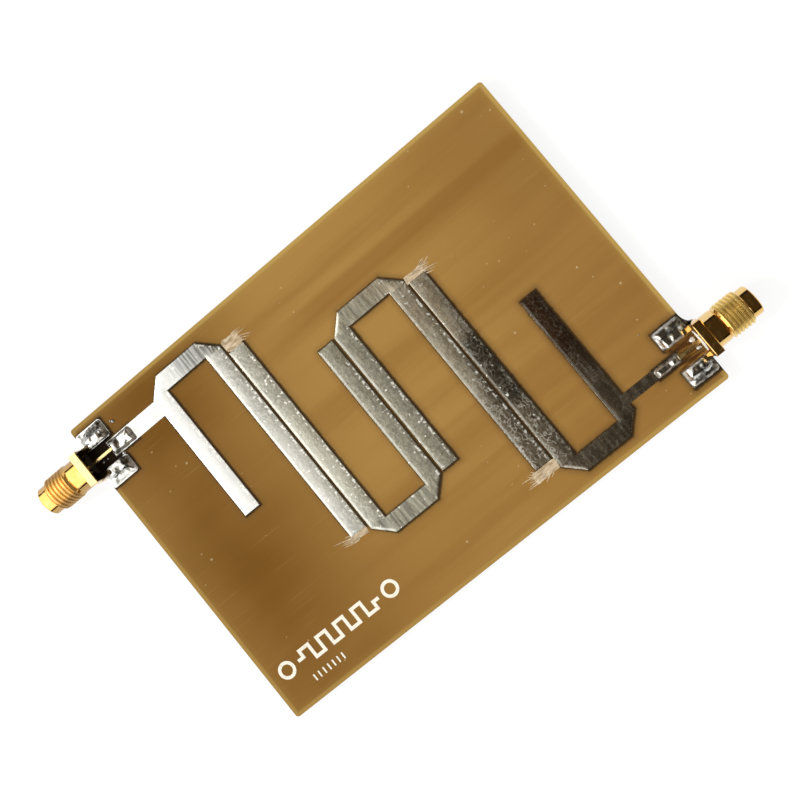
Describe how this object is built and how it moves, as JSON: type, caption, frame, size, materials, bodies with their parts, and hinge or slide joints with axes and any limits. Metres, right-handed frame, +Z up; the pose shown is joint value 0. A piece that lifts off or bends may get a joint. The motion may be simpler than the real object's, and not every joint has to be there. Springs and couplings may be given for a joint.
{
  "type": "microstrip bandpass filter",
  "caption": "Bare circuit board with four tinned hairpin resonators and a gold coaxial socket soldered to each short edge, passing one narrow band of radio frequencies.",
  "frame": {"origin": "under the middle of the board, on the surface that the two flanges rest on", "axes": "+X along the signal path from the input socket to the output socket, +Y across the board towards the input socket's side, +Z up out of the side with the traces"},
  "size_m": [0.113, 0.0628, 0.0065],
  "materials": {
    "glass_epoxy": "bare glass-epoxy laminate, amber brown, satin",
    "copper": "bare copper foil, slightly dull",
    "tinned_copper": "hand-tinned copper, grainy and bright",
    "gold_plate": "bright gold plate on turned brass",
    "gold_contact": "bright gold plate on a turned contact",
    "white_dielectric": "white PTFE, smooth and slightly waxy",
    "solder": "bright solder with dull patches"
  },
  "bodies": {
    "root": {"substrate": "glass_epoxy", "ground_plane": "copper", "input_hairpin": "tinned_copper", "second_hairpin": "tinned_copper", "third_hairpin": "tinned_copper", "output_hairpin": "tinned_copper", "input_pad_outer": "tinned_copper", "input_pad_inner": "tinned_copper", "output_pad_outer": "tinned_copper", "output_pad_inner": "tinned_copper", "input_shell": "gold_plate", "input_insulator": "white_dielectric", "input_contact": "gold_contact", "output_shell": "gold_plate", "output_insulator": "white_dielectric", "output_contact": "gold_contact", "input_pin_solder": "solder", "output_pin_solder": "solder", "input_solder_top_outer": "solder", "input_solder_top_inner": "solder", "input_solder_bottom_outer": "solder", "input_solder_bottom_inner": "solder", "output_solder_top_outer": "solder", "output_solder_top_inner": "solder", "output_solder_bottom_outer": "solder", "output_solder_bottom_inner": "solder"}
  },
  "joints": []
}
